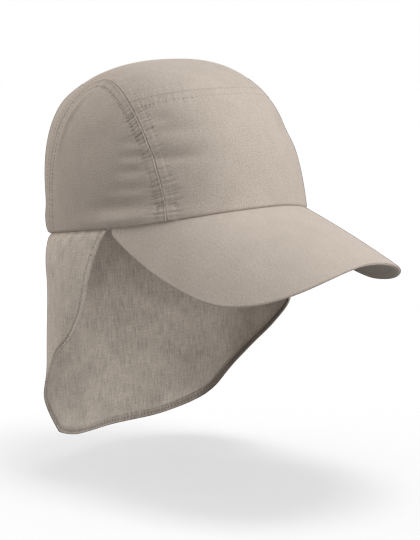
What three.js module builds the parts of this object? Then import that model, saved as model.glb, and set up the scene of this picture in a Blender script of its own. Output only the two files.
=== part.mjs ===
// Legionnaire cap: a soft crown sewn from four cloth panels, a long curved peak and a neck flap.
// Millimetres, +Z up, the peak points to -Y, the wearer's right hand is at -X.
// The origin is the middle of the head opening, where the cap sits on a head.
import * as THREE from 'three';
import { mergeVertices } from 'three/addons/utils/BufferGeometryUtils.js';

const DEGREE = Math.PI / 180;
const NOSE_UP = 7.9;            // the whole cap leans back by this angle, in degrees
const SEAM_GAP = 0.3;           // clear space between two sewn pieces

// The crown is a dome over an egg-like opening. Its section is round at the front, full at the back.
const CROWN = {
  halfWidth: 81, halfLength: 101, squareness: 2.3, height: 117.6,
  frontRound: 2.3, sideRound: 2.85, backRound: 3.1, leanBack: 0.035, wall: 1.2,
};
// The lower edge rises to the middle of the forehead between the two corners of the peak.
const RIM = { lift: 4.7, corner: 75.7, leftSpan: 45 };
// The worn opening is a little flatter in front of the left temple.
const FLATTER = { around: 30.5, wide: 24.7, deep: 1.5 };
// Each side panel is a tall arch in the side view, a little longer in front of its top.
const SIDE_PANEL = { middle: 9.4, front: 73.5, rear: 48, height: 105, roundness: 1.9 };
// The seam across the front, between the front panel and the top strip.
const BROW_SEAM = { sideHeight: 84.5, middleHeight: 88.6 };

// Soft dents and swells of the crown cloth: place in degrees from the front and height up the crown,
// length round the crown, width up it, and depth (a swell has a negative depth).
const CROWN_DENTS = [
  { around: -36, up: 42, long: 19, wide: 4.5, deep: 1.8 },
  { around: -37, up: 33, long: 17, wide: 6, deep: -0.9 },
  { around: -36, up: 69, long: 17, wide: 4.5, deep: 1.3 },
  { around: -31, up: 58, long: 18, wide: 6, deep: -0.9 },
  { around: -44, up: 77, long: 9, wide: 4, deep: 1.1 },
  { around: -66, up: 18, long: 22, wide: 5, deep: 1.6 },
  { around: -80, up: 9, long: 26, wide: 5, deep: -1.4 },
  { around: -63, up: 36, long: 12, wide: 4, deep: 1.1 },
  { around: -88, up: 60, long: 20, wide: 12, deep: 0.9 },
  { around: 27, up: 60, long: 12, wide: 9, deep: 1.8 },
  { around: 36, up: 60, long: 24, wide: 10, deep: 1.1 },
  { around: 70, up: 22, long: 22, wide: 6, deep: 1.4 },
  { around: 84, up: 52, long: 18, wide: 7, deep: 1.2 },
  { around: -138, up: 108, long: 34, wide: 9, deep: 1.8 },
  { around: -150, up: 5, long: 34, wide: 6, deep: -1.6 },
  { around: -141, up: 13, long: 30, wide: 7, deep: -1.4 },
  { around: 160, up: 40, long: 28, wide: 8, deep: 1.2 },
];

const PEAK = {
  reach: 84, widest: 13, slope: 0.532, droop: 0.0076, edgeLift: 1.6, swell: 2, tuck: 1.4,
  end: 0.985, board: 1.8, under: 1, underInset: 0.015, layerGap: 0.4, settleFrom: 60,
};
// The worn peak is a little rounder on the wearer's left, so each half has its own corner.
const PEAK_HALF = {
  right: { halfWidth: 90.7, sideSquare: 2.5, frontSquare: 2.8 },
  left: { halfWidth: 95, sideSquare: 2.1, frontSquare: 2.24 },
};

const FLAP = {
  cloth: 1, hem: 0.8, hemWidth: 5, hemStep: 0.8, inset: 0.1, lowest: 9.7,
  flare: 0.17, flareDepth: 26, tuckIn: 0.17, tuckDepth: 150, swing: 0.05, foldStart: 40,
  curl: 3.2, curlWidth: 13, curlStart: 30, length: 150, width: 190,
};
// The cut of the flap, from its top row to its bottom row: how far each front edge has dropped
// and its place in degrees from the front, on the wearer's right and left.
const FLAP_CUT = [
  { rightDrop: 0, right: 79, leftDrop: 0, left: 79 },
  { rightDrop: 27, right: 85, leftDrop: 24, left: 72 },
  { rightDrop: 55, right: 90, leftDrop: 48, left: 65 },
  { rightDrop: 74, right: 100, leftDrop: 68, left: 63.5 },
  { rightDrop: 87, right: 117.5, leftDrop: 85, left: 78 },
  { rightDrop: 102, right: 130, leftDrop: 102, left: 96.5 },
  { rightDrop: 119, right: 140.5, leftDrop: 119, left: 113 },
  { rightDrop: 135, right: 148, leftDrop: 133, left: 123 },
  { rightDrop: 146, right: 154.5, leftDrop: 139, left: 128 },
];
// Soft folds of the flap: place in degrees from the front, drop, half-widths both ways, and how far
// the cloth stands out (a hollow has a negative value).
const FLAP_FOLDS = [
  { around: 218, drop: 119, wide: 13, tall: 19, out: 3.5 },
  { around: 226, drop: 42, wide: 16, tall: 33, out: -4.1 },
  { around: 196, drop: 130, wide: 9, tall: 60, out: -2.5 },
  { around: 172, drop: 140, wide: 10, tall: 62, out: 3 },
  { around: 152, drop: 128, wide: 8, tall: 48, out: -2.4 },
  { around: 112, drop: 92, wide: 11, tall: 34, out: 2.4 },
  { around: 258, drop: 55, wide: 10, tall: 30, out: 1.8 },
  { around: 236, drop: 70, wide: 8, tall: 30, out: -1.6 },
];

const CLOTH = { color: 0xbfb1a3, roughness: 0.9, metalness: 0 };
const SHADED_CLOTH = { color: 0xa89b8e, roughness: 0.92, metalness: 0 };

// Small steps for the slopes of a surface: on the crown's disc, on the peak, and on the flap in
// degrees and millimetres.
const STEP = { disc: 0.004, peak: 0.01, flap: 0.5 };
// Facets of each piece, along and across it.
const GRID = {
  front: [26, 15], side: [20, 14], top: [20, 26], peak: [34, 8], flap: [30, 15],
};

const power = (value, exponent) => Math.sign(value) * Math.abs(value) ** exponent;
const mix = (from, to, share) => from + (to - from) * share;
const hill = (offset, width) => Math.exp(-((offset / width) ** 2));

function smoothRise(share) {
  const s = Math.min(Math.max(share, 0), 1);
  return s * s * (3 - 2 * s);
}

// Turns a point of the level cap to the attitude in which it is worn, with the peak raised.
function leaned(point) {
  return point.applyAxisAngle(new THREE.Vector3(1, 0, 0), -NOSE_UP * DEGREE);
}

// The angle from one place to another round the crown, between -180 and 180 degrees.
const turnFrom = (around, place) => ((around - place + 540) % 360) - 180;

// Plan of the head opening: the distance from the middle at an angle from the front.
function planRadius(around) {
  const across = Math.abs(Math.sin(around * DEGREE)) / CROWN.halfWidth;
  const along = Math.abs(Math.cos(around * DEGREE)) / CROWN.halfLength;
  const oval = (across ** CROWN.squareness + along ** CROWN.squareness) ** (-1 / CROWN.squareness);
  return oval - FLATTER.deep * hill(turnFrom(around, FLATTER.around), FLATTER.wide);
}

function rimLift(around) {
  const span = around > 0 ? RIM.leftSpan : RIM.corner;
  const share = Math.min(Math.abs(around) / span, 1);
  return RIM.lift * (0.5 + 0.5 * Math.cos(Math.PI * share));
}

// The exponent of the crown's upright section, blended from front or back to the sides.
function sectionRound(around) {
  const facing = Math.cos(around * DEGREE);
  const end = facing > 0 ? CROWN.frontRound : CROWN.backRound;
  return mix(CROWN.sideRound, end, facing ** 2);
}

// Height and radius of the section, as shares, for a climb from 0 at the rim to 90 degrees on top.
function section(around, climb) {
  const e = sectionRound(around);
  const out = Math.max(Math.cos(climb * DEGREE), 0);
  const up = Math.max(Math.sin(climb * DEGREE), 0);
  const size = (out ** e + up ** e) ** (-1 / e);
  return { out: out * size, up: up * size };
}

function climbAt(around, height) {
  const e = sectionRound(around);
  const up = height / CROWN.height;
  return Math.atan2(up, (1 - up ** e) ** (1 / e)) / DEGREE;
}

// Points of the crown are named on a flat disc: the rim is its edge, the top its middle.
function onDisc(around, height) {
  const share = 1 - climbAt(around, height) / 90;
  return new THREE.Vector2(Math.sin(around * DEGREE), -Math.cos(around * DEGREE)).multiplyScalar(share);
}

function plainCrown(spot) {
  const around = Math.atan2(spot.x, -spot.y) / DEGREE;
  const { out, up } = section(around, 90 * (1 - spot.length()));
  const radius = planRadius(around) * out;
  const level = CROWN.height * up;
  const height = level + rimLift(around) * (1 - up);
  return new THREE.Vector3(radius * Math.sin(around * DEGREE),
    -radius * Math.cos(around * DEGREE) + CROWN.leanBack * level, height);
}

function crownDent(point) {
  const around = Math.atan2(point.x, -point.y) / DEGREE;
  let depth = 0;
  for (const dent of CROWN_DENTS) {
    const turn = turnFrom(around, dent.around) * DEGREE;
    const along = hill(turn * CROWN.halfLength, dent.long);
    depth += dent.deep * along * hill(point.z - dent.up, dent.wide);
  }
  return depth;
}

// A point of the crown cloth, moved into the wall along the surface's own normal.
function crownPoint(spot, inside) {
  const step = STEP.disc;
  const near = (x, y) => plainCrown(new THREE.Vector2(spot.x + x, spot.y + y));
  const acrossWay = near(step, 0).sub(near(-step, 0));
  const alongWay = near(0, step).sub(near(0, -step));
  const outward = acrossWay.cross(alongWay).normalize();
  const point = plainCrown(spot);
  return leaned(point.addScaledVector(outward, -inside - crownDent(point)));
}

// The angle from the front at which the level crown, at a height, lies at a given place along Y.
function aroundAt(along, height) {
  let low = 0;
  let high = 180;
  for (let turn = 0; turn < 30; turn++) {
    const middle = (low + high) / 2;
    if (plainCrown(onDisc(middle, height)).y < along) low = middle;
    else high = middle;
  }
  return (low + high) / 2;
}

// The arch of a side panel. A turn of 0 is its front foot, 90 its top and 180 its rear foot.
function archSpot(turn, side) {
  const { middle, front, rear, height, roundness } = SIDE_PANEL;
  const half = turn < 90 ? front : rear;
  const along = middle - half * power(Math.cos(turn * DEGREE), 2 / roundness);
  const up = Math.max(height * power(Math.sin(turn * DEGREE), 2 / roundness), SEAM_GAP);
  return onDisc(side * aroundAt(along, up), up);
}

// The turn on the arch that reaches a height on its front leg.
function archTurn(height) {
  return Math.asin((height / SIDE_PANEL.height) ** (SIDE_PANEL.roundness / 2)) / DEGREE;
}

function browHeight(across) {
  return mix(BROW_SEAM.middleHeight, BROW_SEAM.sideHeight, across ** 4);
}

const steps = (count) => Array.from({ length: count + 1 }, (_, index) => index / count);

// Joins an outer and an inner surface round their edges into one closed wall.
function closedWall(outer, inner, columns, rows) {
  const points = [];
  for (const surface of [outer, inner]) {
    for (const v of rows) for (const u of columns) points.push(surface(u, v));
  }
  const across = columns.length;
  const behind = across * rows.length;
  const last = behind - across;
  const faces = [];
  const quad = (a, b, c, d) => faces.push([a, b, c], [a, c, d]);
  for (let start = 0; start < last; start += across) {
    for (let column = 0; column < across - 1; column++) {
      const a = start + column;
      quad(a, a + 1, a + 1 + across, a + across);
      quad(behind + a, behind + a + across, behind + a + 1 + across, behind + a + 1);
    }
    const right = start + across - 1;
    quad(start, start + across, behind + start + across, behind + start);
    quad(right, behind + right, behind + right + across, right + across);
  }
  for (let column = 0; column < across - 1; column++) {
    quad(column, behind + column, behind + column + 1, column + 1);
    const far = last + column;
    quad(far, far + 1, behind + far + 1, behind + far);
  }
  return facedOut(points, faces);
}

// Builds the mesh and, where its volume comes out negative, turns every face round.
function facedOut(points, faces) {
  let volume = 0;
  for (const [a, b, c] of faces) {
    volume += points[a].dot(new THREE.Vector3().crossVectors(points[b], points[c]));
  }
  const order = volume > 0 ? faces : faces.map(([a, b, c]) => [a, c, b]);
  const geometry = new THREE.BufferGeometry();
  const places = new Float32Array(points.flatMap((point) => point.toArray()));
  geometry.setAttribute('position', new THREE.BufferAttribute(places, 3));
  geometry.setIndex(order.flat());
  const merged = mergeVertices(geometry);
  merged.computeVertexNormals();
  return merged;
}

function crownWall(spotAt, columns, rows) {
  const outer = (u, v) => crownPoint(spotAt(u, v), 0);
  const inner = (u, v) => crownPoint(spotAt(u, v), CROWN.wall);
  return closedWall(outer, inner, steps(columns), steps(rows));
}

// Front panel: rows from the rim up to the brow seam, each as wide as the gap between the arches.
function frontPanel() {
  const spotAt = (u, v) => {
    const across = 2 * u - 1;
    const level = Math.max(v * BROW_SEAM.sideHeight, SEAM_GAP);
    const leg = archSpot(archTurn(level), 1);
    const edge = Math.atan2(leg.x, -leg.y) / DEGREE;
    return onDisc(across * edge, Math.max(v * browHeight(across), SEAM_GAP));
  };
  return crownWall(spotAt, ...GRID.front);
}

// Side panel: rows across the arch, from the rim up to its narrow top.
function sidePanel(side) {
  const topTurn = 88;
  const spotAt = (u, v) => {
    const turn = topTurn * v;
    const { middle, front, rear, height, roundness } = SIDE_PANEL;
    const width = power(Math.cos(turn * DEGREE), 2 / roundness);
    const along = mix(middle - (front - SEAM_GAP) * width, middle + (rear - SEAM_GAP) * width, u);
    const up = (height - SEAM_GAP) * power(Math.sin(turn * DEGREE), 2 / roundness);
    const level = Math.max(up, SEAM_GAP);
    return onDisc(side * aroundAt(along, level), level);
  };
  return crownWall(spotAt, ...GRID.side);
}

// Top panel: a strip from the brow seam over the top and down the back, between the two arches.
// Its four edges are known curves on the disc, and the inside is blended from them.
function topPanel() {
  const start = archTurn(BROW_SEAM.sideHeight + SEAM_GAP);
  const corner = archSpot(start, 1);
  const browEdge = Math.atan2(corner.x, -corner.y) / DEGREE;
  const rearFoot = archSpot(180, 1);
  const footEdge = Math.atan2(rearFoot.x, -rearFoot.y) / DEGREE;
  const front = (u) => onDisc((2 * u - 1) * browEdge, browHeight(2 * u - 1) + SEAM_GAP);
  const back = (u) => onDisc(180 - (2 * u - 1) * (180 - footEdge), SEAM_GAP);
  const sideEdge = (v, side) => archSpot(mix(start, 180, v), side);
  const spotAt = (u, v) => {
    const between = front(u).multiplyScalar(1 - v).addScaledVector(back(u), v);
    between.addScaledVector(sideEdge(v, -1), 1 - u).addScaledVector(sideEdge(v, 1), u);
    for (const [end, share] of [[0, 1 - u], [1, u]]) {
      between.addScaledVector(front(end), -share * (1 - v)).addScaledVector(back(end), -share * v);
    }
    return between;
  };
  return crownWall(spotAt, ...GRID.top);
}

// Rim of the level crown, where the peak and the flap are sewn on.
function rimPoint(around, inset = 0) {
  const radius = planRadius(around) - inset;
  return new THREE.Vector3(radius * Math.sin(around * DEGREE), -radius * Math.cos(around * DEGREE),
    rimLift(around));
}

// Outer edge of the peak. A turn of 0 is its tip, plus or minus 90 its corners at the rim.
function peakEdge(turn) {
  const corner = rimPoint(RIM.corner * Math.sign(turn || 1));
  const back = corner.y - PEAK.widest;
  const tip = -CROWN.halfLength - PEAK.reach;
  const half = turn < 0 ? PEAK_HALF.right : PEAK_HALF.left;
  const settle = Math.max((Math.abs(turn) - PEAK.settleFrom) / (90 - PEAK.settleFrom), 0) ** 2;
  const wide = half.halfWidth * power(Math.sin(turn * DEGREE), 2 / half.sideSquare);
  const long = mix(back, tip, power(Math.cos(turn * DEGREE), 2 / half.frontSquare));
  const x = mix(wide, corner.x, settle);
  const y = mix(long, corner.y, settle);
  const drop = PEAK.slope * (y - corner.y) - PEAK.droop * (x ** 2 - corner.x ** 2);
  const z = drop + PEAK.edgeLift * (1 - settle);
  return new THREE.Vector3(x, y, z);
}

// Upper surface of the peak, from the rim (out 0) to its edge (out 1). Below 0 it is the narrow
// margin that is tucked flat under the crown cloth. A deeper layer lies along the surface's normal,
// and straight below it at the two corners.
function peakPoint(across, out, below) {
  const place = (s, t) => {
    const rim = rimPoint(s * RIM.corner, t < 0 ? PEAK.tuck : 0);
    if (t <= 0) return rim;
    const point = rim.lerp(peakEdge(s * 90), t);
    point.z += PEAK.swell * 4 * t * (1 - t) * (1 - s * s);
    return point;
  };
  const point = place(across, out);
  if (out <= 0) return leaned(point.setZ(point.z - below));
  const step = STEP.peak;
  const acrossWay = place(across + step, out).sub(place(across - step, out));
  const outWay = place(across, out).sub(place(across, out - step));
  const down = acrossWay.cross(outWay).normalize();
  if (down.z > 0) down.negate();
  down.lerp(new THREE.Vector3(0, 0, -1), across ** 8);
  return leaned(point.addScaledVector(down, below));
}

function peakLayer(top, thickness, outerEnd) {
  const [columns, rows] = GRID.peak;
  const place = (u, v, below) => {
    const out = v === 0 ? -1 : ((v * rows - 1) / (rows - 1)) * outerEnd;
    return peakPoint((2 * u - 1) * PEAK.end, out, below);
  };
  const upper = (u, v) => place(u, v, top);
  const lower = (u, v) => place(u, v, top + thickness);
  return closedWall(upper, lower, steps(columns), steps(rows));
}

// Smooth reading of one column of a table whose rows are evenly spaced from 0 to 1.
function readColumn(table, name, share) {
  const place = share * (table.length - 1);
  const index = Math.min(Math.floor(place), table.length - 2);
  const row = (offset) => table[Math.min(Math.max(index + offset, 0), table.length - 1)][name];
  const t = place - index;
  const [a, b, c, d] = [row(-1), row(0), row(1), row(2)];
  return b + 0.5 * t * (c - a + t * (2 * a - 5 * b + 4 * c - d + t * (3 * (b - c) + d - a)));
}

// A point of the flap cloth by its angle round the rim and its drop below it. The sides open out as
// they hang, the back comes in towards the neck, and the whole flap has swung a little to the left.
function hung(around, drop) {
  const point = leaned(rimPoint(around, FLAP.inset));
  const opened = 1 + FLAP.flare * (1 - Math.exp(-drop / FLAP.flareDepth));
  const drawnIn = 1 - FLAP.tuckIn * smoothRise(drop / FLAP.tuckDepth);
  let out = 0;
  for (const fold of FLAP_FOLDS) {
    out += fold.out * hill(around - fold.around, fold.wide) * hill(drop - fold.drop, fold.tall);
  }
  out *= smoothRise(drop / FLAP.foldStart);
  const heading = new THREE.Vector3(Math.sin(around * DEGREE), -Math.cos(around * DEGREE), 0);
  point.set(point.x * opened, point.y * drawnIn, point.z - drop).addScaledVector(heading, out);
  return point.applyAxisAngle(new THREE.Vector3(0, 0, 1), FLAP.swing * drop * DEGREE);
}

// The flap's own grid: u runs from the right front edge round the back to the left one, v downwards.
// The left edge curls in towards the neck.
function flapPoint(u, v, inside) {
  const read = (name) => readColumn(FLAP_CUT, name, v);
  const place = (s) => {
    const around = mix(360 - read('right'), read('left'), s);
    const drop = mix(read('rightDrop'), read('leftDrop'), s);
    const belly = FLAP.lowest * (4 * s * (1 - s)) ** 0.6 * v ** 1.5;
    return { around, drop: drop + belly };
  };
  const { around, drop } = place(u);
  const step = STEP.flap;
  const aroundWay = hung(around + step, drop).sub(hung(around - step, drop));
  const downWay = hung(around, drop + step).sub(hung(around, drop));
  const inward = downWay.cross(aroundWay).normalize();
  const point = hung(around, drop);
  if (inward.x * point.x + inward.y * point.y > 0) inward.negate();
  const fromLeft = Math.max(1 - (FLAP.width * (1 - u)) / FLAP.curlWidth, 0);
  const curl = FLAP.curl * fromLeft ** 2 * smoothRise(drop / FLAP.curlStart);
  return point.addScaledVector(inward, inside + curl);
}

// Even spacing between two hems, each with a line at its width and one just past it.
function hemmedSteps(count, length, atStart) {
  const hem = FLAP.hemWidth / length;
  const edge = (FLAP.hemWidth + FLAP.hemStep) / length;
  const from = atStart ? edge : 0;
  const middle = steps(count).map((share) => mix(from, 1 - edge, share));
  return [...(atStart ? [0, hem] : []), ...middle, 1 - hem, 1];
}

function neckFlap() {
  const [columns, rows] = GRID.flap;
  const rowShares = hemmedSteps(rows, FLAP.length, false);
  const columnShares = hemmedSteps(columns, FLAP.width, true);
  const hemRow = rowShares.at(-2);
  const hemColumn = columnShares[1];
  const thickness = (u, v) => {
    const turned = u <= hemColumn || u >= 1 - hemColumn || v >= hemRow;
    return FLAP.cloth + (turned && v > 0 ? FLAP.hem : 0);
  };
  const outer = (u, v) => flapPoint(u, v, 0);
  const inner = (u, v) => flapPoint(u, v, thickness(u, v));
  return closedWall(outer, inner, columnShares, rowShares);
}

const cap = new THREE.Group();

function add(name, geometry, look) {
  const mesh = new THREE.Mesh(geometry, new THREE.MeshStandardMaterial(look));
  mesh.name = name;
  cap.add(mesh);
}

add('front_panel', frontPanel(), CLOTH);
add('top_panel', topPanel(), CLOTH);
add('side_panel_right', sidePanel(-1), CLOTH);
add('side_panel_left', sidePanel(1), CLOTH);
add('peak_upper', peakLayer(0, PEAK.board, 1), CLOTH);
add('peak_under', peakLayer(PEAK.board + PEAK.layerGap, PEAK.under, 1 - PEAK.underInset), SHADED_CLOTH);
add('neck_flap', neckFlap(), SHADED_CLOTH);

export default cap;
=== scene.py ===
import math

import bpy
import numpy as np
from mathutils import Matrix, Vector


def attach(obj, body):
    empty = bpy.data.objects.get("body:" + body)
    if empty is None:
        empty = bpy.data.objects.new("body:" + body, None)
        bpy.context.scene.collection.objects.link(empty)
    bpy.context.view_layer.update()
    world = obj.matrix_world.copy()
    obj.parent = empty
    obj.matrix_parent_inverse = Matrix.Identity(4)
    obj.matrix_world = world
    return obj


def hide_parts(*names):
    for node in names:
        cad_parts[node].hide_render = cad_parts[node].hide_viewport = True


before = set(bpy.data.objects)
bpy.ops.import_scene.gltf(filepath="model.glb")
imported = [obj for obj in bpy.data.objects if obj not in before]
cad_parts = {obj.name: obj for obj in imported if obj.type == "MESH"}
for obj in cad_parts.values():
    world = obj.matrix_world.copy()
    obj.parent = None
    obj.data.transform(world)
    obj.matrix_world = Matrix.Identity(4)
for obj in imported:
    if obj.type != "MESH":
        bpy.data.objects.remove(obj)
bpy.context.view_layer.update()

# The camera stands to the wearer's right of the front, a little above the peak.
# The cap fills the picture from the left side to the right one, with the floor below it.
AZIMUTH, ELEVATION = math.radians(-42), math.radians(6.508)
CAMERA_AWAY = 1.3
toward_camera = Vector((math.sin(AZIMUTH) * math.cos(ELEVATION),
                        -math.cos(AZIMUTH) * math.cos(ELEVATION), math.sin(ELEVATION)))
picture_right = Vector((math.cos(AZIMUTH), math.sin(AZIMUTH), 0))
picture_up = toward_camera.cross(picture_right)
aim = picture_right * 0.02353 - picture_up * 0.03546
camera = bpy.data.objects.new("camera", bpy.data.cameras.new("camera"))
camera.data.lens = 119.1
camera.data.sensor_width = 36
camera.data.clip_start = 0.01
camera.location = toward_camera * CAMERA_AWAY
camera.rotation_mode = "QUATERNION"
camera.rotation_quaternion = (camera.location - aim).to_track_quat("Z", "Y")
bpy.context.scene.collection.objects.link(camera)
bpy.context.scene.camera = camera


# Floor and light: a pale floor under the flap and a white studio all round. Lamps stand high on the
# right, overhead, low in front to reach inside the flap, and behind on the left. The floor has two
# lamps of its own, one that draws the cap's shadow and one, shadowless, that keeps the floor pale.
bpy.context.scene.view_settings.view_transform = "Standard"
FLOOR_LEVEL = -0.181
FLOOR_REACH = 6


class Shading:
    """The nodes of one material or world. node() adds a node, sets its own settings first and then
    its inputs, each a plain value or the socket that feeds it."""

    def __init__(self, owner):
        owner.use_nodes = True
        self.tree = owner.node_tree
        self.tree.nodes.clear()

    def node(self, kind, settings=(), inputs=()):
        made = self.tree.nodes.new(kind)
        for name, value in dict(settings).items():
            setattr(made, name, value)
        for name, value in dict(inputs).items():
            value = getattr(value, "socket", value)
            if isinstance(value, bpy.types.NodeSocket):
                self.tree.links.new(value, made.inputs[name])
            else:
                made.inputs[name].default_value = value
        return made


world = bpy.data.worlds.new("studio")
bpy.context.scene.world = world
studio = Shading(world)
seen = studio.node("ShaderNodeBackground", inputs={"Color": (1, 1, 1, 1), "Strength": 1.0})
glow = studio.node("ShaderNodeBackground", inputs={"Color": (1, 0.985, 0.97, 1), "Strength": 0.30})
ray = studio.node("ShaderNodeLightPath")
either = studio.node("ShaderNodeMixShader", inputs={
    0: ray.outputs["Is Camera Ray"], 1: glow.outputs[0], 2: seen.outputs[0]})
studio.node("ShaderNodeOutputWorld", inputs={"Surface": either.outputs[0]})

floor_mesh = bpy.data.meshes.new("floor")
square = ((-1, -1), (1, -1), (1, 1), (-1, 1))
corners = [(x * FLOOR_REACH, y * FLOOR_REACH, FLOOR_LEVEL) for x, y in square]
floor_mesh.from_pydata(corners, [], [(0, 1, 2, 3)])
floor = bpy.data.objects.new("floor", floor_mesh)
floor.is_shadow_catcher = True
bpy.context.scene.collection.objects.link(floor)
floor_paint = bpy.data.materials.new("floor_paint")
paint = Shading(floor_paint)
matt = paint.node("ShaderNodeBsdfPrincipled", inputs={
    "Base Color": (0.33, 0.33, 0.33, 1), "Roughness": 1.0, "Specular IOR Level": 0.0})
paint.node("ShaderNodeOutputMaterial", inputs={"Surface": matt.outputs[0]})
floor_mesh.materials.append(floor_paint)

off_the_floor = bpy.data.collections.new("off_the_floor")
off_the_floor.objects.link(floor)
off_the_floor.collection_objects[0].light_linking.link_state = "EXCLUDE"
floor_alone = bpy.data.collections.new("floor_alone")
floor_alone.objects.link(floor)


def soft_lamp(name, place, power, size, tint=(1, 1, 1), on_floor=False):
    """A square lamp at a place in metres, of a power in watts and a side in metres, turned to face
    the cap. It lights either the floor or the cap."""
    lamp = bpy.data.objects.new(name, bpy.data.lights.new(name, "AREA"))
    lamp.data.energy = power
    lamp.data.size = size
    lamp.data.color = tint
    lamp.location = place
    lamp.rotation_mode = "QUATERNION"
    lamp.rotation_quaternion = Vector(place).to_track_quat("Z", "Y")
    lamp.light_linking.receiver_collection = floor_alone if on_floor else off_the_floor
    bpy.context.scene.collection.objects.link(lamp)
    return lamp


soft_lamp("key_lamp", (1.25, -1.35, 1.3), 25, 1.1)
soft_lamp("top_lamp", (-0.2, 0.1, 1.9), 16.5, 1.4)
soft_lamp("pool_lamp", (0.2, -0.35, 1.9), 11, 0.75, on_floor=True)
even_lamp = soft_lamp("even_lamp", (0.1, 0.0, 2.4), 58, 2.0, on_floor=True)
even_lamp.light_linking.blocker_collection = floor_alone
soft_lamp("low_lamp", (-0.1, -1.7, -0.02), 13, 0.8)
soft_lamp("back_lamp", (-0.45, 1.5, 0.5), 11, 0.7, (1, 0.92, 0.84))


# Front panel: matt beige woven cloth over the forehead, cut in one piece between the two side
# seams. It is sewn to its neighbours on a folded edge, with a row of stitches along each seam.
MM = 0.001
NOSE_UP = 7.9
CROWN = {"half_width": 81, "half_length": 101, "squareness": 2.3, "height": 117.6, "front_round": 2.3,
         "side_round": 2.85, "back_round": 3.1, "lean_back": 0.035, "wall": 1.2}
RIM = {"lift": 4.7, "corner": 75.7, "left_span": 45, "gap": 0.3}
# The worn opening is a little flatter in front of the left temple.
FLATTER = {"around": 30.5, "wide": 24.7, "deep": 1.5}
SIDE_ARCH = {"middle": 9.4, "front": 73.5, "rear": 48, "height": 105, "roundness": 1.9}
BROW_SEAM = {"side_height": 84.5, "middle_height": 88.6}

# Dents and swells of the crown cloth: degrees from the front, height up the crown, length round it,
# width up it, and depth, in millimetres. A swell has a negative depth.
CROWN_DENTS = np.array([
    (-41, 45, 16, 4.2, 2.1), (-49, 46, 7, 2.4, 0.7), (-31, 56, 18, 6, -0.6), (-41, 63, 15, 4.5, 1.0),
    (-45, 72, 9, 4, 1.0),
    (-60, 58, 11, 3.0, 0.9), (-60, 48, 12, 3.0, 1.3), (-61, 38, 13, 3.2, 1.3), (-63, 26, 17, 3.4, 1.2),
    (-68, 15, 28, 5, 2.1), (-60, 5, 62, 5.5, -1.8), (-66, 5, 24, 5, -0.9), (-88, 60, 20, 12, 0.9),
    (27, 60, 12, 9, 1.8), (36, 60, 24, 10, 1.1), (70, 22, 22, 6, 1.4), (84, 52, 18, 7, 1.2),
    (-138, 108, 34, 9, 1.8), (-150, 5, 34, 6, -1.6), (-141, 13, 30, 7, -1.4), (160, 40, 28, 8, 1.2),
], dtype=[(name, float) for name in ("around", "up", "long", "wide", "deep")])


def power(value, exponent):
    return np.sign(value) * np.abs(value) ** exponent


def mix(start, end, share):
    return start + (end - start) * share


def hill(offset, width):
    return np.exp(-((offset / width) ** 2))


def smooth_rise(share):
    """0 below 0, 1 above 1, and 3s^2 - 2s^3 between."""
    s = np.clip(share, 0, 1)
    return s * s * (3 - 2 * s)


def leaned(points):
    """The points of the level cap turned about X by the angle at which the peak is raised."""
    cos, sin = math.cos(math.radians(NOSE_UP)), math.sin(math.radians(NOSE_UP))
    x, y, z = np.moveaxis(points, -1, 0)
    return np.stack([x, y * cos + z * sin, z * cos - y * sin], -1)


def turn_from(around, place):
    """The angle from a place to another round the crown, between -180 and 180 degrees."""
    return (around - place + 540) % 360 - 180


def plan_radius(around):
    """Edge of the head opening: (|sin|/half width)^2.3 + (|cos|/half length)^2.3 = radius^-2.3, less
    a bell curve where it is flatter."""
    turn = np.radians(around)
    across = np.abs(np.sin(turn)) / CROWN["half_width"]
    along = np.abs(np.cos(turn)) / CROWN["half_length"]
    oval = (across ** CROWN["squareness"] + along ** CROWN["squareness"]) ** (-1 / CROWN["squareness"])
    return oval - FLATTER["deep"] * hill(turn_from(around, FLATTER["around"]), FLATTER["wide"])


def rim_lift(around):
    """Rise of the lower edge over the forehead: half a cosine wave on each side."""
    span = np.where(around > 0, RIM["left_span"], RIM["corner"])
    return RIM["lift"] * (0.5 + 0.5 * np.cos(np.pi * np.minimum(np.abs(around) / span, 1)))


def section_round(around):
    """Exponent of the upright section: the front's or back's one mixed into the side's by cos^2."""
    facing = np.cos(np.radians(around))
    end = np.where(facing > 0, CROWN["front_round"], CROWN["back_round"])
    return mix(CROWN["side_round"], end, facing ** 2)


def on_disc(around, height):
    """A place on the crown as a complex number: the rim is the unit circle, the top is 0, and the
    climb is the arc tangent of the section's height over its radius, as a share of 90 degrees."""
    e = section_round(around)
    up = height / CROWN["height"]
    share = 1 - np.arctan2(up, (1 - up ** e) ** (1 / e)) / (np.pi / 2)
    turn = np.radians(around)
    return share * (np.sin(turn) - 1j * np.cos(turn))


def level_crown(spot):
    """The plain dome: out^e + up^e = 1 gives the section, the plan radius its width, and the lower
    edge is lifted over the forehead."""
    around = np.degrees(np.arctan2(spot.real, -spot.imag))
    climb = np.pi / 2 * (1 - np.abs(spot))
    e = section_round(around)
    out, up = np.maximum(np.cos(climb), 0), np.maximum(np.sin(climb), 0)
    size = (out ** e + up ** e) ** (-1 / e)
    radius = plan_radius(around) * out * size
    level = CROWN["height"] * up * size
    turn = np.radians(around)
    return np.stack([radius * np.sin(turn), CROWN["lean_back"] * level - radius * np.cos(turn),
                     level + rim_lift(around) * (1 - up * size)], -1)


def unit(vectors):
    return vectors / np.maximum(np.linalg.norm(vectors, axis=-1, keepdims=True), 1e-9)


def crown_outward(spot):
    """Unit normal of the plain dome, from the cross product of its two slopes."""
    step = 0.004
    across = level_crown(spot + step) - level_crown(spot - step)
    along = level_crown(spot + step * 1j) - level_crown(spot - step * 1j)
    return unit(np.cross(across, along))


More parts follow.
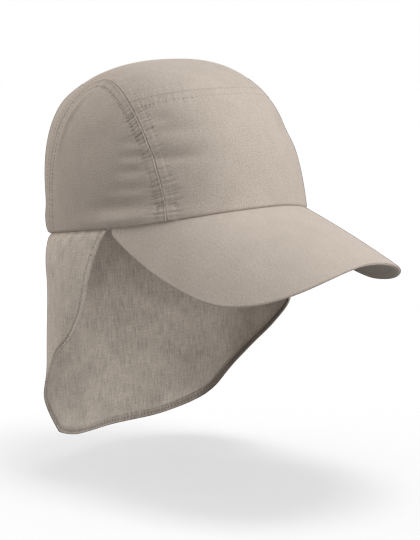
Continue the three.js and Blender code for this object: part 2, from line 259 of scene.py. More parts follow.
def crown_dent(points):
    """Sum of the dents: depth times one bell curve round the crown and one up it."""
    around = np.degrees(np.arctan2(points[..., 0], -points[..., 1]))[..., None]
    turn = np.radians(turn_from(around, CROWN_DENTS["around"]))
    along = hill(turn * CROWN["half_length"], CROWN_DENTS["long"])
    climb = hill(points[..., 2:] - CROWN_DENTS["up"], CROWN_DENTS["wide"])
    return (CROWN_DENTS["deep"] * along * climb).sum(-1)


def around_at(along, height):
    """Angle from the front at which the dome, at a height, lies at a place along Y: by halving."""
    low = np.zeros(np.broadcast(along, height).shape)
    high = low + 180
    for _ in range(30):
        middle = (low + high) / 2
        before = level_crown(on_disc(middle, height))[..., 1] < along
        low, high = np.where(before, middle, low), np.where(before, high, middle)
    return (low + high) / 2


def arch_point(turn):
    """The squarish arch of the side view: turn 0 is its front foot, 180 its rear one. It gives the
    share of the half length, cos^(2/roundness), and the height, sin^(2/roundness) times the arch's."""
    exponent = 2 / SIDE_ARCH["roundness"]
    up = SIDE_ARCH["height"] * power(np.sin(np.radians(turn)), exponent)
    return power(np.cos(np.radians(turn)), exponent), np.maximum(up, RIM["gap"])


def arch_spot(turn, side):
    """The side seam: the arch laid on the dome, on the wearer's left (1) or right (-1)."""
    turn = np.asarray(turn, float)
    half = np.where(turn < 90, SIDE_ARCH["front"], SIDE_ARCH["rear"])
    reach, up = arch_point(turn)
    return on_disc(side * around_at(SIDE_ARCH["middle"] - half * reach, up), up)


def arch_turn(height):
    return np.degrees(np.arcsin((height / SIDE_ARCH["height"]) ** (SIDE_ARCH["roundness"] / 2)))


def brow_height(across):
    return mix(BROW_SEAM["middle_height"], BROW_SEAM["side_height"], across ** 4)


def angle_of(spot):
    return np.degrees(np.arctan2(spot.real, -spot.imag))


def brow_spot(across):
    """The seam over the forehead, from one side seam (-1) to the other (1)."""
    edge = angle_of(arch_spot(arch_turn(BROW_SEAM["side_height"]), 1))
    return on_disc(across * edge, brow_height(across))


# How the cloth lies along a seam: the folded edge dips into a ditch with a small ridge beside it, the
# turned-in allowance lifts it as far as the row of stitches, the thread pulls a groove, and small
# hollows cross between.
SEAM = {"ditch": 0.7, "ditch_width": 0.4, "ridge": 0.4, "ridge_at": 0.95, "ridge_width": 0.45,
        "allowance": 0.4, "allowance_edge": 1.6, "groove": 0.3, "groove_width": 0.6, "stitch_row": 6.3,
        "pitch": 2.8, "needle": 0.35, "needle_width": 0.6, "lap_beyond": 0.3, "gather": 0.75,
        "gather_on_lap": 0.35, "calm_share": 0.4, "calm_fade": 30}


def seam_line(spots, seed, strength, ditch=1.0, calm_from=1000):
    """A seam as points on the plain dome, with its running length and its row of hollows: places
    2 to 4 mm apart, depths, widths and reaches from a seeded draw, deeper in some stretches and
    shallow past a given length."""
    points = level_crown(spots)
    length = np.concatenate([[0], np.cumsum(np.linalg.norm(np.diff(points, axis=0), axis=1))])
    draw = np.random.default_rng(seed)
    count = int(length[-1] / 3.1)
    place = np.cumsum(draw.uniform(2.0, 4.2, count))
    stretch = 0.75 + 0.25 * np.sin(place / draw.uniform(7, 10) + draw.uniform(0, 6))
    stretch *= mix(1, 0.3, smooth_rise((place - calm_from) / SEAM["calm_fade"]))
    hollows = {"place": place, "deep": strength * stretch * draw.uniform(0.25, 1.0, count),
               "wide": draw.uniform(0.6, 1.1, count), "reach": draw.uniform(0.8, 3.2, count) ** 1.6}
    return {"points": points, "tangent": unit(np.gradient(points, axis=0)), "length": length,
            "hollows": hollows, "ditch": ditch * SEAM["ditch"], "calm_from": calm_from}


def beside(points, seam):
    """Distance of each point from the seam, and its running length: the nearest sample of the seam,
    corrected along its tangent."""
    flat = points.reshape(-1, 3)
    line = seam["points"]
    squares = (flat ** 2).sum(1)[:, None] + (line ** 2).sum(1) - 2 * flat @ line.T
    nearest = squares.argmin(1)
    offset = flat - line[nearest]
    along = (offset * seam["tangent"][nearest]).sum(1)
    off = np.linalg.norm(offset - along[:, None] * seam["tangent"][nearest], axis=1)
    return off.reshape(points.shape[:-1]), (seam["length"][nearest] + along).reshape(points.shape[:-1])


def seam_relief(off, run, seam, lap):
    """Height of the cloth beside a seam: allowance step + lapped ridge - ditch - groove - needle
    holes - hollows. A hollow is a bell curve along the seam that fades past the stitches. All of it
    is softer where the seam is calm. The lap is 1 on the panel whose folded edge lies on top."""
    row = SEAM["stitch_row"]
    firm = mix(1, SEAM["calm_share"], smooth_rise((run - seam["calm_from"] - 40) / SEAM["calm_fade"]))
    rise = firm * SEAM["allowance"] * (1 - smooth_rise((off - row) / SEAM["allowance_edge"]))
    rise += firm * lap * SEAM["ridge"] * hill(off - SEAM["ridge_at"], SEAM["ridge_width"])
    rise -= firm * seam["ditch"] * hill(off, SEAM["ditch_width"])
    rise -= firm * SEAM["groove"] * hill(off - row, SEAM["groove_width"])
    from_hole = ((run / SEAM["pitch"] + 0.5) % 1 - 0.5) * SEAM["pitch"]
    rise -= firm * SEAM["needle"] * hill(from_hole, SEAM["needle_width"]) * hill(off - row, 0.8)
    h = seam["hollows"]
    past = np.maximum(off - row, 0)[..., None]
    lines = h["deep"] * hill(run[..., None] - h["place"], h["wide"]) * hill(past, h["reach"])
    return rise - (SEAM["gather"] + SEAM["gather_on_lap"] * lap) * lines.sum(-1) * smooth_rise(off / 1.5)


side_turns = np.linspace(0, 180, 700)
SEAMS = {
    "right": seam_line(arch_spot(side_turns, -1), 11, 1.6, calm_from=80),
    "left": seam_line(arch_spot(side_turns, 1), 12, 1.6, calm_from=80),
    "brow": seam_line(brow_spot(np.linspace(-1, 1, 400)), 13, 1.8, 0.8, calm_from=-100),
}
ALL_SEAMS = tuple(SEAMS)
RIM_ROLL = {"deep": 1.4, "wide": 0.9}
# Behind the top of each side panel the cloth stands in a soft fold along the seam.
SEAM_FOLD = {"off": 10.5, "wide": 3.0, "run": 176, "long": 28, "rise": 1.1}


def crown_cloth(spot, seams, inside=0):
    """The cloth at a place: the dome moved along its normal by the seam relief minus the dents, with
    the lower edge rolled in. The inner face lies a wall further in, and more at the allowance."""
    points = level_crown(spot)
    above_rim = points[..., 2] - rim_lift(angle_of(spot))
    lift = -crown_dent(points) - RIM_ROLL["deep"] * hill(above_rim, RIM_ROLL["wide"])
    for name in seams:
        off, run = beside(points, SEAMS[name])
        on_side_panel = seams == (name,)
        lap = 1.0 if on_side_panel else SEAM["lap_beyond"]
        if on_side_panel:
            standing = hill(off - SEAM_FOLD["off"], SEAM_FOLD["wide"])
            lift = lift + SEAM_FOLD["rise"] * standing * hill(run - SEAM_FOLD["run"], SEAM_FOLD["long"])
        if inside:
            lift = lift - 0.5 * (1 - smooth_rise((off - SEAM["stitch_row"]) / 1.2))
        else:
            lift = lift + seam_relief(off, run, SEAMS[name], lap)
    return leaned(points + crown_outward(spot) * (lift - inside)[..., None])


def spaced(count, lean=0.6):
    """Steps from 0 to 1, closer together at both ends: a straight run mixed with half a cosine."""
    run = np.linspace(0, 1, count)
    return mix(run, 0.5 - 0.5 * np.cos(np.pi * run), lean)


def cloth_lengths(points):
    """UV of a grid in metres: running length along each row from its middle, and up each column."""
    across = np.cumsum(np.linalg.norm(np.diff(points, axis=1, prepend=points[:, :1]), axis=-1), axis=1)
    up = np.cumsum(np.linalg.norm(np.diff(points, axis=0, prepend=points[:1]), axis=-1), axis=0)
    across -= across[:, across.shape[1] // 2, None]
    return np.stack([across, up], -1) * MM


def grid_faces(rows, columns, start=0, around=False):
    """Four corners of each quad between neighbours of a grid that is stored row by row."""
    across = columns if around else columns - 1
    row, column = np.meshgrid(np.arange(rows - 1), np.arange(across), indexing="ij")
    right = (column + 1) % columns
    here, above = row * columns, (row + 1) * columns
    corners = [here + column, here + right, above + right, above + column]
    return np.stack(corners, -1).reshape(-1, 4) + start


def new_piece(name, points, faces, uv, material):
    """A smooth mesh in metres from arrays of points in millimetres, faces and one UV for each point.
    Where the volume under the faces comes out negative, every face is turned round."""
    points = points.reshape(-1, 3) * MM
    a, b, c, d = (points[faces[:, k]] for k in range(4))
    volume = ((a * np.cross(b, c)).sum() + (a * np.cross(c, d)).sum())
    faces = faces if volume > 0 else faces[:, ::-1]
    mesh = bpy.data.meshes.new(name)
    mesh.from_pydata(points.tolist(), [], [tuple(dict.fromkeys(face)) for face in faces.tolist()])
    corner = np.empty(len(mesh.loops), np.int32)
    mesh.loops.foreach_get("vertex_index", corner)
    layer = mesh.uv_layers.new(name="cloth")
    layer.data.foreach_set("uv", uv.reshape(-1, 2)[corner].astype(np.float32).ravel())
    mesh.shade_smooth()
    mesh.materials.append(material)
    piece = bpy.data.objects.new(name, mesh)
    bpy.context.scene.collection.objects.link(piece)
    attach(piece, "root")
    return piece


def walled(name, outer, inner, material, uv=None):
    """A closed wall between two grids of the same size: both faces, and a strip round the edge."""
    rows, columns = outer.shape[:2]
    behind = rows * columns
    index = np.arange(behind).reshape(rows, columns)
    edge = np.concatenate([index[0, :-1], index[:-1, -1], index[-1, :0:-1], index[:0:-1, 0]])
    after = np.roll(edge, -1)
    strip = np.stack([after, edge, edge + behind, after + behind], -1)
    back = grid_faces(rows, columns, behind)[:, ::-1]
    faces = np.concatenate([grid_faces(rows, columns), back, strip])
    uv = cloth_lengths(outer) if uv is None else uv
    return new_piece(name, np.stack([outer, inner]), faces, np.stack([uv, uv]), material)


class Value:
    """A number in a material. Each operator adds the Math node that works it out."""

    def __init__(self, shading, socket):
        self.shading, self.socket = shading, socket

    def join(self, operation, *parts):
        made = self.shading.node("ShaderNodeMath", {"operation": operation}, dict(enumerate(parts)))
        return Value(self.shading, made.outputs[0])

    def __add__(self, other):
        return self.join("ADD", self, other)

    def __sub__(self, other):
        return self.join("SUBTRACT", self, other)

    def __mul__(self, other):
        return self.join("MULTIPLY", self, other)

    def __rsub__(self, other):
        return self.join("SUBTRACT", other, self)

    __radd__ = __add__
    __rmul__ = __mul__


def woven_cloth(name, dark, light, pitch=0.55, slub=0.5, speckle=1.9, patch=0.4, blotch=0.5, relief=0.2,
                hem=0):
    """Plain woven cloth. Its colour is a sum of: crossing threads (sine across times sine along), long
    uneven threads (noise stretched both ways), fine speckle, blotches and broad patches. The same
    threads and speckle make its bump. It is darkened by hem times a share read from an attribute:
    painted shade on the hem. Each noise is given by how many grains it has in a metre, across and
    along the cloth."""
    material = bpy.data.materials.new(name)
    shade = Shading(material)
    uv = shade.node("ShaderNodeUVMap", {"uv_map": "cloth"})
    parts = shade.node("ShaderNodeSeparateXYZ", inputs={0: uv.outputs[0]})
    across, along = Value(shade, parts.outputs[0]), Value(shade, parts.outputs[1])
    threads = (across * (math.pi / (pitch * MM))).join("SINE", across * (math.pi / (pitch * MM)))
    threads = threads * (along * (math.pi / (pitch * MM))).join("SINE", along * (math.pi / (pitch * MM)))

    def noise(x, y, detail=2.0):
        place = shade.node("ShaderNodeCombineXYZ", inputs={0: across * x, 1: along * y})
        made = shade.node("ShaderNodeTexNoise", inputs={
            "Vector": place.outputs[0], "Scale": 1.0, "Detail": detail, "Roughness": 0.6})
        return Value(shade, made.outputs[0]) - 0.5

    upright = noise(1100, 90)
    level = noise(110, 1000)
    grains = noise(1000, 1000)
    blotches = noise(75, 60, 3.0)
    patches = noise(22, 22, 3.0)
    tone = upright * slub + level * (slub * 0.45) + grains * speckle + threads * 0.05 + 0.5
    tone = tone + patches * patch + blotches * blotch
    # Painted shade: the share from the hem attribute darkens the colour.
    if hem:
        painted_hem_shade = shade.node("ShaderNodeAttribute", {"attribute_name": "hem"})
        tone = tone - Value(shade, painted_hem_shade.outputs["Fac"]) * hem
    colour = shade.node("ShaderNodeMix", {"data_type": "RGBA"}, {0: tone, 6: (*dark, 1), 7: (*light, 1)})
    height = threads * 0.1 + upright * 0.5 + level * 0.4 + grains * 1.1
    bump = shade.node("ShaderNodeBump", inputs={
        "Strength": 1.0, "Distance": relief * MM, "Height": height})
    rough = 0.93 - grains * 0.12
    cloth = shade.node("ShaderNodeBsdfPrincipled", inputs={
        "Base Color": colour.outputs[2], "Roughness": rough, "Normal": bump.outputs[0],
        "Specular IOR Level": 0.25, "Sheen Weight": 0.12, "Sheen Roughness": 0.6})
    shade.node("ShaderNodeOutputMaterial", inputs={"Surface": cloth.outputs[0]})
    return material


crown_cloth_finish = woven_cloth("crown_cloth", (0.40, 0.34, 0.285), (0.59, 0.515, 0.456), speckle=2.2)

rows, columns = spaced(240, 0.3), spaced(160, 0.75)
across, up = np.meshgrid(2 * columns - 1, rows)
leg = angle_of(arch_spot(arch_turn(np.maximum(up * BROW_SEAM["side_height"], RIM["gap"])), 1))
front_spots = on_disc(across * leg, np.maximum(up * brow_height(across), RIM["gap"]))
front_panel = walled("front_panel_cloth", crown_cloth(front_spots, ALL_SEAMS),
                     crown_cloth(front_spots, ALL_SEAMS, CROWN["wall"]), crown_cloth_finish)
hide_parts("front_panel")


# Top panel: one strip of the same cloth from the brow seam over the top and down the back to the
# rim, between the two side seams. It is blended on the disc from its four edges.
rows, columns = spaced(190, 0.4), spaced(130)
across, down = np.meshgrid(columns, rows)
brow_turn = arch_turn(BROW_SEAM["side_height"])
rear_foot = angle_of(arch_spot(180, 1))


def top_edges(u, v):
    """Front, back, right and left edges of the panel at the shares u across it and v down it."""
    back = on_disc(180 - (2 * u - 1) * (180 - rear_foot), np.full(np.shape(u), RIM["gap"]))
    sides = [arch_spot(mix(brow_turn, 180, v), side) for side in (-1, 1)]
    return brow_spot(2 * u - 1), back, *sides


front, back, right, left = top_edges(columns, rows)
corner = {"front": (right[0], left[0]), "back": (right[-1], left[-1])}
top_spots = ((1 - down) * front + down * back + (1 - across) * right[:, None] + across * left[:, None]
             - (1 - down) * ((1 - across) * corner["front"][0] + across * corner["front"][1])
             - down * ((1 - across) * corner["back"][0] + across * corner["back"][1]))
top_panel = walled("top_panel_cloth", crown_cloth(top_spots, ALL_SEAMS),
                   crown_cloth(top_spots, ALL_SEAMS, CROWN["wall"]), crown_cloth_finish)
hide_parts("top_panel")


# Side panels: an arched piece of the same cloth over each ear. Small hollows run into it from the
# seam, where the stitches gather the cloth.
across, turn = np.meshgrid(spaced(140, 0.75), 90 * spaced(240, 0.2))
reach, up = arch_point(turn)
along = mix(SIDE_ARCH["middle"] - SIDE_ARCH["front"] * reach,
            SIDE_ARCH["middle"] + SIDE_ARCH["rear"] * reach, across)
for word, side in (("right", -1), ("left", 1)):
    spots = on_disc(side * around_at(along, up), up)
    panel = walled(f"side_panel_{word}_cloth", crown_cloth(spots, (word,)),
                   crown_cloth(spots, (word,), CROWN["wall"]), crown_cloth_finish)
    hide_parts(f"side_panel_{word}")


# Stitches of the crown: a row of lockstitch in matching thread on both sides of each side seam and on
# one side of the brow seam. Each stitch is a short bent bead of thread whose ends go down into the cloth.
STITCH = {"pitch": SEAM["pitch"], "long": 2.1, "thick": 0.55}


def thread(name, colour):
    """Matching sewing thread: fine slanting strands along its length."""
    material = bpy.data.materials.new(name)
    shade = Shading(material)
    uv = shade.node("ShaderNodeUVMap", {"uv_map": "cloth"})
    strands = shade.node("ShaderNodeTexWave", {"bands_direction": "DIAGONAL"}, {
        "Vector": uv.outputs[0], "Scale": 900.0, "Distortion": 0.5})
    colours = shade.node("ShaderNodeMix", {"data_type": "RGBA"}, {
        0: strands.outputs["Fac"], 6: (*(0.8 * c for c in colour), 1), 7: (*colour, 1)})
    twist = shade.node("ShaderNodeBump", inputs={
        "Strength": 0.6, "Distance": 0.05 * MM, "Height": strands.outputs["Fac"]})
    yarn = shade.node("ShaderNodeBsdfPrincipled", inputs={
        "Base Color": colours.outputs[2], "Roughness": 0.7, "Normal": twist.outputs[0]})
    shade.node("ShaderNodeOutputMaterial", inputs={"Surface": yarn.outputs[0]})
    return material


def stitches(path, outward, length=None, pitch=STITCH["pitch"], long=STITCH["long"],
             thick=STITCH["thick"], slant=0):
    """Points and faces of a row of stitches along a path with its normals. Each is a tube of six
    sides in seven rings: its radius falls to its ends, and it is bent down by x^2. They lie along
    the path or slant across it, and start half a pitch after every whole pitch of its length."""
    if length is None:
        length = np.concatenate([[0], np.cumsum(np.linalg.norm(np.diff(path, axis=0), axis=1))])
    middles = (np.arange(math.ceil(length[0] / pitch), math.floor(length[-1] / pitch)) + 0.5) * pitch
    centre, normal = (np.stack([np.interp(middles, length, part[:, k]) for k in range(3)], -1)
                      for part in (path, outward))
    slope = np.stack([np.interp(middles, length, np.gradient(path[:, k], length)) for k in range(3)], -1)
    slope = unit(slope)
    normal = unit(normal - (normal * slope).sum(1, keepdims=True) * slope)
    slope = slope * math.cos(slant) + np.cross(normal, slope) * math.sin(slant)
    side = np.cross(normal, slope)
    x = np.linspace(-1, 1, 7)[:, None]
    turn = np.linspace(0, 2 * np.pi, 6, endpoint=False)[None]
    thin = thick / 2 * np.sqrt(1 - (0.96 * x) ** 2)
    shape = [x * long / 2 + 0 * turn, thin * np.cos(turn), thin * np.sin(turn) + 0.12 - 0.4 * x ** 2]
    points = centre[:, None, None] + sum(
        part[None, :, :, None] * way[:, None, None] for part, way in zip(shape, (slope, side, normal)))
    one = np.concatenate([grid_faces(7, 6, around=True), [(3, 2, 1, 0), (5, 4, 3, 0)],
                          [(36, 37, 38, 39), (36, 39, 40, 41)]])
    faces = (one[None] + 42 * np.arange(len(middles))[:, None, None]).reshape(-1, 4)
    uv = np.stack([np.broadcast_to(shape[0], (len(middles), 7, 6)),
                   np.broadcast_to(turn * thick / 2, (len(middles), 7, 6))], -1) * MM
    return points.reshape(-1, 3), faces, uv.reshape(-1, 2)


def sewn(name, rows_of_stitches, material):
    """One piece from several rows of stitches."""
    parts = [stitches(*row) for row in rows_of_stitches]
    starts = np.cumsum([0] + [len(part[0]) for part in parts])
    return new_piece(name, np.concatenate([part[0] for part in parts]),
                     np.concatenate([part[1] + start for part, start in zip(parts, starts)]),
                     np.concatenate([part[2] for part in parts]), material)


def beside_seam(spots, distance):
    """A path on the disc at a distance in millimetres to one side of a seam: along the disc's own
    normal, by the distance over the local stretch of the dome."""
    ahead = np.gradient(spots)
    aside = 1j * ahead / np.abs(ahead)
    step = 0.002
    moved = spots
    for _ in range(2):
        halfway = (moved + spots) / 2
        slope = level_crown(halfway + step * aside) - level_crown(halfway - step * aside)
        moved = spots + aside * distance / (np.linalg.norm(slope, axis=-1) / (2 * step))
    return moved


def seam_row(seam, spots, distance):
    """A row of stitches beside a seam: its path on the cloth, the normals, and the length by the seam."""
    spots = beside_seam(spots, distance)
    run = beside(level_crown(spots), SEAMS[seam])[1]
    return crown_cloth(spots, ALL_SEAMS), leaned(crown_outward(spots)), run


seam_rows = []
for word, side in (("right", -1), ("left", 1)):
    for distance in (-SEAM["stitch_row"], SEAM["stitch_row"]):
        seam_rows.append(seam_row(word, arch_spot(np.linspace(1.5, 178.5, 500), side), distance))
seam_rows.append(seam_row("brow", brow_spot(np.linspace(-0.93, 0.93, 400)), -SEAM["stitch_row"]))
sewn("crown_stitches", seam_rows, thread("crown_thread", (0.64, 0.56, 0.48)))


# Peak, upper cover: a firm board under smooth cloth, which is turned over the board's edge. It
# swells a little between the rim and its edge, and its sides bow down.
PEAK = {"reach": 84, "widest": 13, "slope": 0.532, "droop": 0.0076, "edge_lift": 1.6, "swell": 2.0,
        "tuck": 1.4, "end": 0.985, "board": 1.8, "under": 1.0, "layer_gap": 0.4, "under_inset": 0.015,
        "settle_from": 60}
PEAK_HALF = {"right": {"half_width": 90.7, "side_square": 2.5, "front_square": 2.8},
             "left": {"half_width": 95, "side_square": 2.1, "front_square": 2.24}}


def rim_point(around, inset=0):
    """The lower edge of the level crown at an angle from the front."""
    turn = np.radians(around)
    radius = plan_radius(around) - inset
    return np.stack([radius * np.sin(turn), -radius * np.cos(turn), rim_lift(around)], -1)


def peak_edge(turn):
    """Outer edge of the peak: a squarish oval with its own corner on each side, sloping down to the
    front and bowed by -droop x^2, which settles on the rim at its two ends."""
    right = turn < 0
    corner = rim_point(np.where(right, -RIM["corner"], RIM["corner"]))
    half = {key: np.where(right, PEAK_HALF["right"][key], left) for key, left in PEAK_HALF["left"].items()}
    settle = np.maximum((np.abs(turn) - PEAK["settle_from"]) / (90 - PEAK["settle_from"]), 0) ** 2
    wide = half["half_width"] * power(np.sin(np.radians(turn)), 2 / half["side_square"])
    back, tip = corner[..., 1] - PEAK["widest"], -CROWN["half_length"] - PEAK["reach"]
    long = mix(back, tip, power(np.maximum(np.cos(np.radians(turn)), 0), 2 / half["front_square"]))
    x, y = mix(wide, corner[..., 0], settle), mix(long, corner[..., 1], settle)
    z = PEAK["slope"] * (y - corner[..., 1]) - PEAK["droop"] * (x ** 2 - corner[..., 0] ** 2)
    return np.stack([x, y, z + PEAK["edge_lift"] * (1 - settle)], -1)


def peak_face(across, out):
    """Upper face of the peak: straight from rim to edge, plus a swell of 4 out (1 - out)."""
    rim, edge = rim_point(across * RIM["corner"]), peak_edge(across * 90)
    share = out[..., None] if np.ndim(out) else out
    points = mix(rim, edge, share)
    points[..., 2] += PEAK["swell"] * 4 * out * (1 - out) * (1 - across ** 2)
    return points


def peak_frame(across, out):
    """Point, downward normal and outward direction of the peak's upper face."""
    step = 0.01
    points = peak_face(across, out)
    side_way = peak_face(across + step, out) - peak_face(across - step, out)
    out_way = unit(peak_face(across, out) - peak_face(across, out - step))
    down = unit(np.cross(side_way, out_way))
    down = np.where(down[..., 2:] > 0, -down, down)
    plumb = np.array([0, 0, -1.0])
    down = mix(down, plumb, across[..., None] ** 8)
    return points, down, out_way


def peak_layer(top, thick, inset, cover_grid):
    """A closed layer of the peak: over its upper face, round its edge on a half circle with a crease
    in it, back under it, and up behind the rim. Each column is one loop, closed by a fan at both ends."""
    over = spaced(cover_grid["over"], 0.5)
    arc = np.linspace(0, np.pi, cover_grid["arc"])[1:-1]
    end = 1 - inset
    out = np.concatenate([over * end, np.full(len(arc), end), over[::-1] * end])
    turned = top + thick / 2 * (1 - np.cos(arc))
    below = np.concatenate([np.full(len(over), top), turned, np.full(len(over), top + thick)])
    round_edge = thick / 2 * np.sin(arc) * (1 - cover_grid["crease"] * hill(arc - 1.5, 0.3))
    beyond = np.concatenate([0 * over, round_edge, 0 * over])
    across = spaced(cover_grid["columns"], 0.2) * 2 * PEAK["end"] - PEAK["end"]
    across, out = np.meshgrid(across, out, indexing="ij")
    points, down, out_way = peak_frame(across, out)
    loops = points + down * below[:, None] + out_way * beyond[:, None]
    tucked = [rim_point(across[:, :1] * RIM["corner"], PEAK["tuck"]) - np.array([0, 0, level])
              for level in (top + thick, top)]
    return leaned(np.concatenate([loops, *tucked], 1))


def capped_loops(name, loops, uv, material):
    """A piece from loops in a row, each closed on itself, with a fan over the first and last."""
    rows, columns = loops.shape[:2]
    faces = grid_faces(rows, columns, around=True)
    fans = []
    for row, middle in ((0, rows * columns), (rows - 1, rows * columns + 1)):
        ring = row * columns + np.arange(columns)
        after = np.roll(ring, -1)
        way = (after, ring) if row == 0 else (ring, after)
        fans.append(np.stack([*way, np.full(columns, middle), np.full(columns, middle)], -1))
    points = np.concatenate([loops.reshape(-1, 3), loops[[0, -1]].mean(1)])
    uv = np.concatenate([uv.reshape(-1, 2), uv[[0, -1]].mean(1)])
    return new_piece(name, points, np.concatenate([faces, *fans]), uv, material)


def loop_lengths(loops):
    """UV of the loops in metres: X across the peak and Y towards its front, as the cloth lies."""
    return np.stack([loops[..., 0], -loops[..., 1]], -1) * MM


peak_finish = woven_cloth("peak_cloth", (0.42, 0.36, 0.305), (0.62, 0.54, 0.48), slub=0.2, speckle=1.6,
                          patch=0.2)
cover = peak_layer(0, PEAK["board"], 0.004, {"over": 90, "arc": 18, "columns": 240, "crease": 0.7})
peak_cover = capped_loops("peak_upper_cloth", cover, loop_lengths(cover), peak_finish)
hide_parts("peak_upper")


# Peak, under cover: a thinner layer of cloth on the lower side, a little short of the edge, with one
# row of stitches near it. Its cloth is coloured darker than the upper cover, as painted shade.
peak_under_painted_shade_finish = woven_cloth("peak_under_cloth", (0.30, 0.26, 0.225), (0.44, 0.385, 0.34), slub=0.15)
lining = peak_layer(PEAK["board"] + PEAK["layer_gap"] * 0.3, PEAK["under"], PEAK["under_inset"],
                    {"over": 60, "arc": 8, "columns": 200, "crease": 0})
peak_lining = capped_loops("peak_under_cloth", lining, loop_lengths(lining), peak_under_painted_shade_finish)
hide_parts("peak_under")
across = np.linspace(-0.93, 0.93, 500)
points, down, _ = peak_frame(across, np.full(across.shape, 0.93))
deep = PEAK["board"] + PEAK["layer_gap"] * 0.3 + PEAK["under"]
under_row = (leaned(points + down * deep), leaned(down))
sewn("peak_stitches", [under_row], thread("peak_thread", (0.42, 0.36, 0.31)))


# Neck flap: a sheet of thin cloth sewn to the rim behind the peak's corners. It hangs free in soft
# folds, has swung a little to the wearer's left, and its edge is turned in and sewn as a hem.
FLAP = {"cloth": 0.8, "inset": 0.1, "under_rim": 1.3, "under_rim_depth": 2.6, "lowest": 9.7,
        "flare": 0.17, "flare_depth": 26, "tuck_in": 0.17, "tuck_depth": 150, "swing": 0.05,
        "fold_start": 40, "curl": 3.2, "curl_width": 13, "curl_start": 30,
        "near_curl": 3.2, "near_width": 12, "near_drop": 80, "near_tall": 34}
# The cut from the top row to the bottom one: drop of each front edge and its place in degrees.
FLAP_CUT = {
    "right_drop": (0, 27, 55, 74, 87, 102, 119, 135, 146),
    "right": (79, 85, 89, 98.5, 116, 130, 140.5, 148, 154.5),
    "left_drop": (0, 24, 48, 68, 85, 102, 119, 133, 139),
    "left": (79, 72, 65, 63, 76, 94, 110, 120, 126),
}
# Soft folds: degrees from the front, drop, half-widths both ways, and how far the cloth stands out.
FLAP_FOLDS = np.array([
    (218, 119, 13, 19, 3.5), (194, 122, 6, 50, -3.2), (172, 140, 10, 62, 3), (152, 128, 8, 48, -2.4),
    (112, 92, 11, 34, 2.4), (258, 55, 10, 30, 1.8), (236, 70, 8, 30, -1.6), (226, 42, 16, 33, -4.1),
], dtype=[(name, float) for name in ("around", "drop", "wide", "tall", "out")])


def read_cut(name, share):
    """One column of the cut, read smoothly: a cubic through each four neighbouring rows."""
    table = np.array(FLAP_CUT[name], float)
    place = share * (len(table) - 1)
    index = np.minimum(place.astype(int), len(table) - 2)
    a, b, c, d = (table[np.clip(index + k, 0, len(table) - 1)] for k in (-1, 0, 1, 2))
    t = place - index
    return b + 0.5 * t * (c - a + t * (2 * a - 5 * b + 4 * c - d + t * (3 * (b - c) + d - a)))


def hung(around, drop):
    """A point of the flap by angle and drop: the rim's point, tucked under the rolled rim at the
    top, opened out sideways, drawn in at the back, moved out by the folds, and turned about Z in
    step with its drop."""
    rim = leaned(rim_point(around, FLAP["inset"] + FLAP["under_rim"] * hill(drop, FLAP["under_rim_depth"])))
    opened = 1 + FLAP["flare"] * (1 - np.exp(-drop / FLAP["flare_depth"]))
    drawn_in = 1 - FLAP["tuck_in"] * smooth_rise(drop / FLAP["tuck_depth"])
    f = FLAP_FOLDS
    out = f["out"] * hill(around[..., None] - f["around"], f["wide"])
    out = (out * hill(drop[..., None] - f["drop"], f["tall"])).sum(-1)
    out = out * smooth_rise(drop / FLAP["fold_start"])
    turn = np.radians(around)
    x = rim[..., 0] * opened + out * np.sin(turn)
    y = rim[..., 1] * drawn_in - out * np.cos(turn)
    cos, sin = np.cos(np.radians(FLAP["swing"] * drop)), np.sin(np.radians(FLAP["swing"] * drop))
    return np.stack([x * cos - y * sin, x * sin + y * cos, rim[..., 2] - drop], -1)


def flap_outward(around, drop):
    """Unit normal of the flap, away from the neck: cross product of its slopes down and round."""
    step = 0.5
    aside = hung(around + step, drop) - hung(around - step, drop)
    below = hung(around, drop + step) - hung(around, drop - step)
    return unit(np.cross(below, aside))


def run_along(points, axis):
    """Running length of a grid of points along one of its axes."""
    steps = np.diff(points, axis=axis, prepend=np.take(points, [0], axis=axis))
    return np.cumsum(np.linalg.norm(steps, axis=-1), axis=axis)


across, down = np.meshgrid(spaced(260, 0.6), spaced(180, 0.6))
around = mix(360 - read_cut("right", down), read_cut("left", down), across)
drop = mix(read_cut("right_drop", down), read_cut("left_drop", down), across)
# The rows sag between the two front edges by 1.6 m - 0.6 m^2, where m = 4 across (1 - across).
middle = 4 * across * (1 - across)
drop = drop + FLAP["lowest"] * (1.6 * middle - 0.6 * middle ** 2) * down ** 1.5
outward = flap_outward(around, drop)
flap = hung(around, drop)
width = run_along(flap, 1)
# The left edge curls in towards the neck: a parabola over the last stretch of cloth.
rolled = np.maximum(1 - (width[:, -1:] - width) / FLAP["curl_width"], 0) ** 2
flap = flap - outward * (FLAP["curl"] * rolled * smooth_rise(drop / FLAP["curl_start"]))[..., None]
# The right edge turns outwards over a shorter stretch, so its hem shows from in front.
turned = np.maximum(1 - width / FLAP["near_width"], 0) ** 2
turned = turned * hill(drop - FLAP["near_drop"], FLAP["near_tall"])
flap = flap + outward * (FLAP["near_curl"] * turned)[..., None]
width, length = run_along(flap, 1), run_along(flap, 0)

# The free edge is one line, down the right side, along the bottom and up the left side. Its hem is
# folded to the inside and sewn, with small puckers between the stitches and a rounded outer edge.
# HEM's dark is how strongly the inside of the hem is darkened as painted shade.
HEM = {"width": 5, "thick": 0.7, "stitch_row": 4.4, "groove": 0.45, "groove_width": 0.6, "pucker": 0.35,
       "round": 0.35, "round_width": 0.45, "dark": 0.5, "overlock": 2.5}
edge = np.concatenate([flap[:, 0], flap[-1, 1:], flap[-2::-1, -1]])
edge_out = np.concatenate([outward[:, 0], outward[-1, 1:], outward[-2::-1, -1]])
edge_line = {"points": edge, "tangent": unit(np.gradient(edge, axis=0)), "length": run_along(edge, 0)}
from_edge, run = beside(flap, edge_line)
draw = np.random.default_rng(21)


def uneven_waves(count, place, shortest, longest, weakest):
    """Sum of sine waves along a place, each with its strength, length and start from a seeded draw."""
    return sum(draw.uniform(weakest, 1) * np.sin(place / draw.uniform(shortest, longest) + draw.uniform(0, 6))
               for _ in range(count))


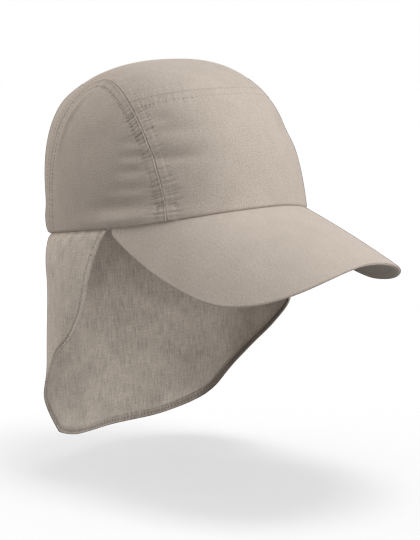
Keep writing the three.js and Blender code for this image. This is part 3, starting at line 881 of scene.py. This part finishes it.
ripple = uneven_waves(5, run, 0.4, 0.9, 0.4) / 3
gathers = uneven_waves(4, width, 1.6, 3.4, 0.3) / 2
in_hem = 1 - smooth_rise((from_edge - HEM["width"]) / 0.8)
relief = HEM["pucker"] * ripple * hill(from_edge - HEM["width"] * 0.7, HEM["width"] * 0.6)
relief = relief - HEM["groove"] * hill(from_edge - HEM["stitch_row"], HEM["groove_width"])
# Under the rim the cloth is gathered a little, which fades within the first centimetre or two.
relief = relief + 0.5 * gathers * np.exp(-length / 9) * smooth_rise(length / 2)
rounded = HEM["round"] * hill(from_edge, HEM["round_width"])
outer = flap + outward * (relief - rounded)[..., None]
thick = FLAP["cloth"] + HEM["thick"] * in_hem - rounded - relief * (1 - 0.5 * in_hem)
inner = flap - outward * thick[..., None]
# The flap's cloth is coloured lighter than the crown's, as painted light that brightens the inside of the
# flap.
flap_finish_painted_lighter = woven_cloth("flap_cloth", (0.35, 0.305, 0.26), (0.80, 0.705, 0.62), slub=1.1, speckle=1.1,
                          patch=0.75, blotch=0.6, hem=HEM["dark"])
upright_threads = np.stack([np.radians(around) * CROWN["half_width"], -drop], -1) * MM
neck_flap = walled("neck_flap_cloth", outer, inner, flap_finish_painted_lighter, upright_threads)
painted_hem_shade_layer = neck_flap.data.attributes.new("hem", "FLOAT", "POINT")
# Painted shade: only the inner face of the hem is darkened, most of all on the far, left edge.
painted_hem_shade_share = in_hem * mix(0.45, 1, smooth_rise((across - 0.55) / 0.3))
shares = np.concatenate([0 * in_hem.ravel(), painted_hem_shade_share.ravel()])
painted_hem_shade_layer.data.foreach_set("value", shares.astype(np.float32))
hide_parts("neck_flap")


# Stitches of the hem: one row of matching thread through the folded edge, which shows on the outside
# and on the inside of the flap.
def laid_on(path, surface, normals):
    """The path moved onto a surface, along the normal of the nearest of the surface's points."""
    squares = (path ** 2).sum(1)[:, None] + (surface ** 2).sum(1) - 2 * path @ surface.T
    nearest = squares.argmin(1)
    normal = normals[nearest]
    return path - ((path - surface[nearest]) * normal).sum(1, keepdims=True) * normal, normal


between_ends = slice(6, -6)
into_cloth = np.cross(edge_line["tangent"], edge_out)
hem_row = (edge + into_cloth * HEM["stitch_row"])[between_ends]
near_edge = from_edge < 2 * HEM["width"]
hem_rows = [laid_on(hem_row, outer[near_edge], outward[near_edge]),
            laid_on(hem_row, inner[near_edge], -outward[near_edge])]
sewn("hem_stitches", hem_rows, thread("flap_thread", (0.62, 0.54, 0.47)))


# Overlock of the hem: threads that slant over the raw edge of the turned-in cloth, sewn before the
# hem is folded. They are a shade darker and show only inside the flap.
OVERLOCK = {"pitch": 2.9, "long": 3.4, "thick": 0.75, "slant": math.radians(58)}
overlock_row = (edge + into_cloth * HEM["overlock"])[between_ends]
overlock_row = laid_on(overlock_row, inner[near_edge], -outward[near_edge])
overlock_thread = thread("overlock_thread", (0.28, 0.24, 0.205))
sewn("hem_overlock", [(*overlock_row, None, *OVERLOCK.values())], overlock_thread)
